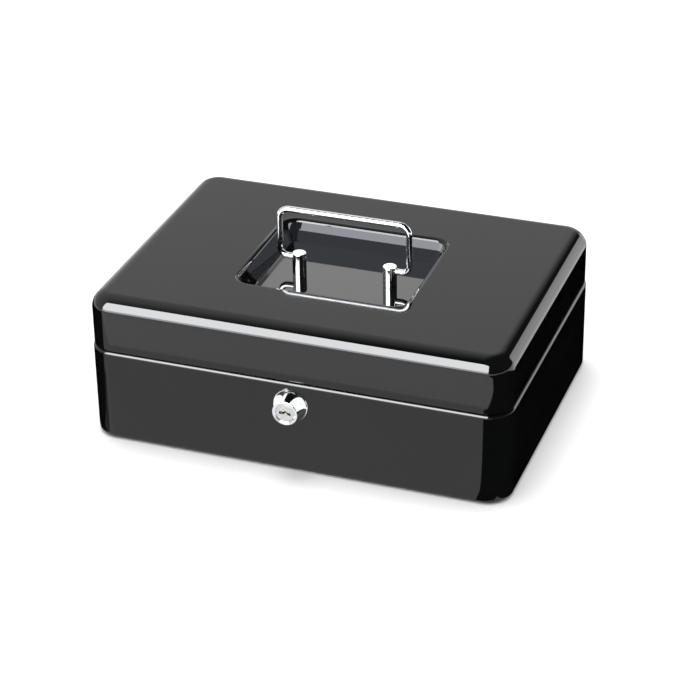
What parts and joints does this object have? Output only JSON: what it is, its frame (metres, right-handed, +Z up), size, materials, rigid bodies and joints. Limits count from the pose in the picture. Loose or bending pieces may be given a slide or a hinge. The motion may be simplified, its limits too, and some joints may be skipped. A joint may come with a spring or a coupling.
{
  "type": "cash box",
  "caption": "Portable enamelled steel cash box with hinged lid, fold-down wire handle in a pressed recess, front cam lock and a lift-out coin tray.",
  "frame": {"origin": "middle of the underside, on the surface that the box stands on, ignoring the lock and the hinge", "axes": "+X along the width, to the right as seen from the front; -Y out of the front wall with the lock; +Z up"},
  "size_m": [0.25, 0.1954, 0.119],
  "materials": {
    "black_enamel": "gloss",
    "bright_chrome": "polished",
    "brushed_nickel": "brushed",
    "zinc_plate": "satin",
    "wafer_brass": "satin",
    "tray_plastic": "satin"
  },
  "bodies": {
    "base": {"base_shell": "black_enamel", "hinge_leaf_base": "black_enamel", "hinge_pin": "zinc_plate", "hinge_rivets_base": "zinc_plate", "lock_housing": "bright_chrome", "lock_washer": "zinc_plate", "lock_nut": "zinc_plate", "tray_ledge_left": "black_enamel", "tray_ledge_right": "black_enamel"},
    "lid": {"lid_shell": "black_enamel", "hinge_leaf_lid": "black_enamel", "hinge_rivets_lid": "zinc_plate", "handle_post_left": "bright_chrome", "handle_post_right": "bright_chrome", "handle_washers": "zinc_plate", "handle_screws": "zinc_plate", "lid_keeper": "zinc_plate"},
    "handle": {"handle_bail": "bright_chrome"},
    "lock_core": {"lock_plug": "brushed_nickel", "lock_wafers": "wafer_brass", "lock_cam": "zinc_plate", "lock_cam_screw": "zinc_plate"},
    "tray": {"coin_tray": "tray_plastic", "tray_divider_long": "tray_plastic", "tray_dividers_front": "tray_plastic", "tray_dividers_rear": "tray_plastic"}
  },
  "joints": [
    {"name": "lid_hinge", "type": "hinge", "parent": "base", "child": "lid", "pos_m": [0, 0.0928, 0.057], "axis": [-1, 0, 0], "range_deg": [0, 100]},
    {"name": "handle_fold", "type": "hinge", "parent": "lid", "child": "handle", "pos_m": [0, 0, 0.0872], "axis": [1, 0, 0], "range_deg": [-103, 103]},
    {"name": "lock_turn", "type": "hinge", "parent": "base", "child": "lock_core", "pos_m": [0, -0.09, 0.043], "axis": [0, -1, 0], "range_deg": [0, 90]},
    {"name": "tray_lift", "type": "slide", "parent": "base", "child": "tray", "axis": [0, 0, 1], "range_m": [0, 0.01]}
  ]
}
